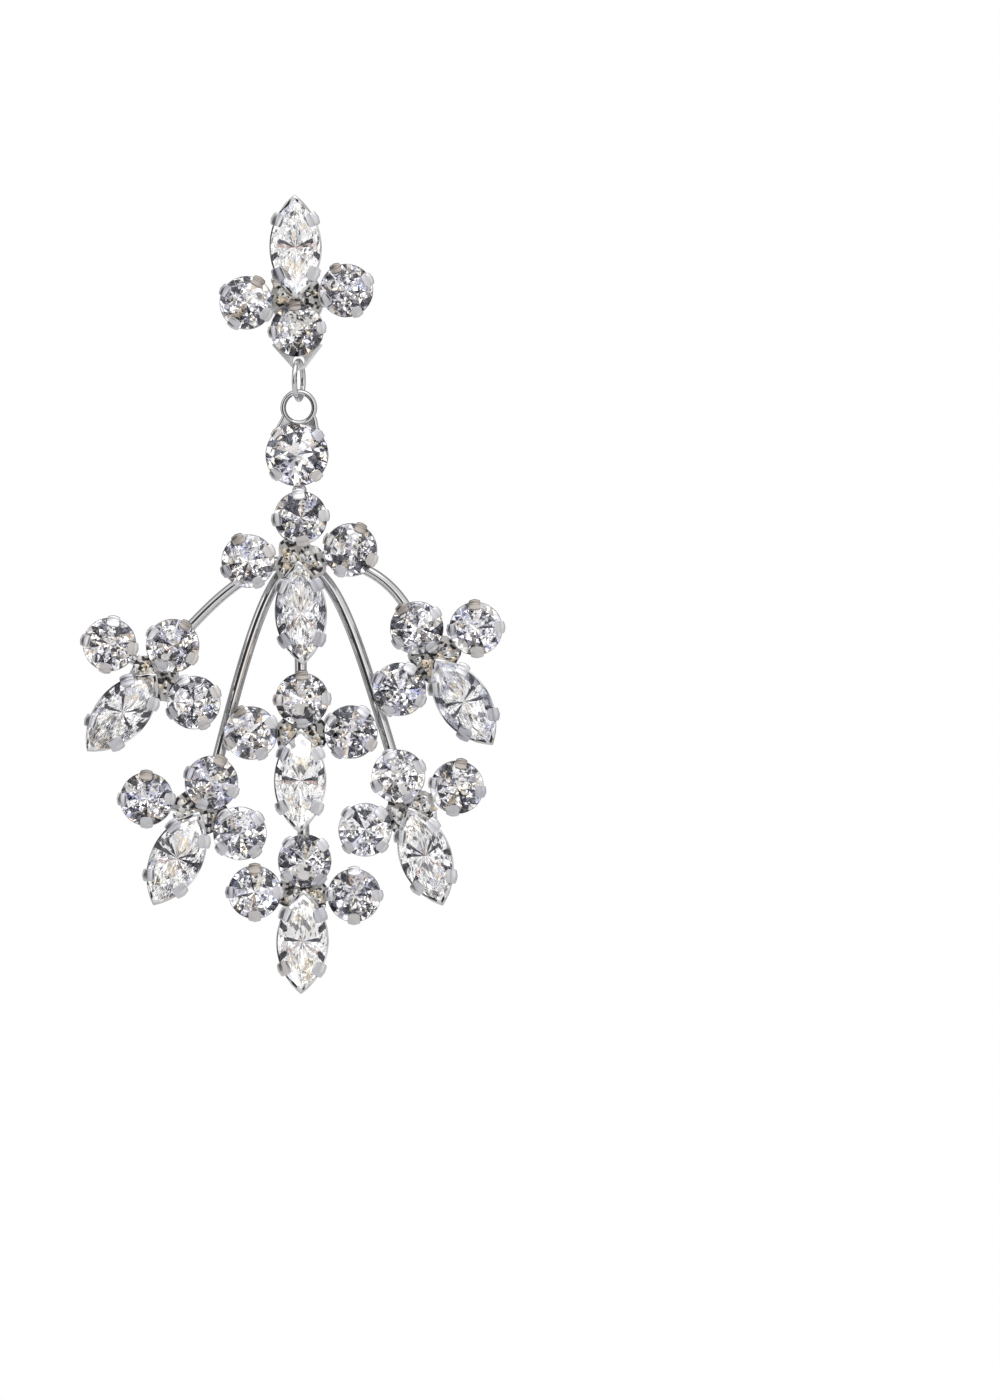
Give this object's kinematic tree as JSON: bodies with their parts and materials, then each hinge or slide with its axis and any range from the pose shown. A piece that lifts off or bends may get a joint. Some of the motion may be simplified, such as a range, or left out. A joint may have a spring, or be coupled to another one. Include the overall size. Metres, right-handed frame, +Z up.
{
  "type": "chandelier earring",
  "caption": "Chandelier drop earring: clusters of round and navette stones in claw settings on curved wires, hung from a post stud by a jump ring.",
  "frame": {"origin": "middle of the post pad's back face, where the post goes into the ear lobe", "axes": "+Z up the hanging earring, +Y from its front to its back along the post, +X to the right in the front view"},
  "size_m": [0.0497, 0.0164, 0.0932],
  "materials": {
    "plated_metal": "polished rhodium plate",
    "post_metal": "plain polished post",
    "crystal": "cut crystal with a mirrored back"
  },
  "bodies": {
    "stud": {"stud_frame": "plated_metal", "ear_post": "post_metal", "stud_low_round_stone": "crystal", "stud_left_round_stone": "crystal", "stud_right_round_stone": "crystal", "stud_navette_stone": "crystal"},
    "link": {"jump_ring_link": "plated_metal"},
    "drop": {"drop_frame": "plated_metal", "connector_round_stone": "crystal", "upper_head_round_stone": "crystal", "upper_left_round_stone": "crystal", "upper_right_round_stone": "crystal", "upper_navette_stone": "crystal", "middle_head_round_stone": "crystal", "middle_left_round_stone": "crystal", "middle_right_round_stone": "crystal", "middle_navette_stone": "crystal", "lower_head_round_stone": "crystal", "lower_left_round_stone": "crystal", "lower_right_round_stone": "crystal", "lower_navette_stone": "crystal", "outer_left_head_round_stone": "crystal", "outer_left_left_round_stone": "crystal", "outer_left_right_round_stone": "crystal", "outer_left_navette_stone": "crystal", "outer_right_head_round_stone": "crystal", "outer_right_left_round_stone": "crystal", "outer_right_right_round_stone": "crystal", "outer_right_navette_stone": "crystal", "inner_left_head_round_stone": "crystal", "inner_left_left_round_stone": "crystal", "inner_left_right_round_stone": "crystal", "inner_left_navette_stone": "crystal", "inner_right_head_round_stone": "crystal", "inner_right_left_round_stone": "crystal", "inner_right_right_round_stone": "crystal", "inner_right_navette_stone": "crystal"}
  },
  "joints": [
    {"name": "link_swing", "type": "hinge", "parent": "stud", "child": "link", "pos_m": [0.00025, -0.00275, -0.00727], "axis": [0, 1, 0], "range_deg": [-25, 25]},
    {"name": "drop_swing", "type": "hinge", "parent": "link", "child": "drop", "pos_m": [0.00025, -0.00275, -0.01091], "axis": [1, 0, 0], "range_deg": [-35, 35]}
  ]
}
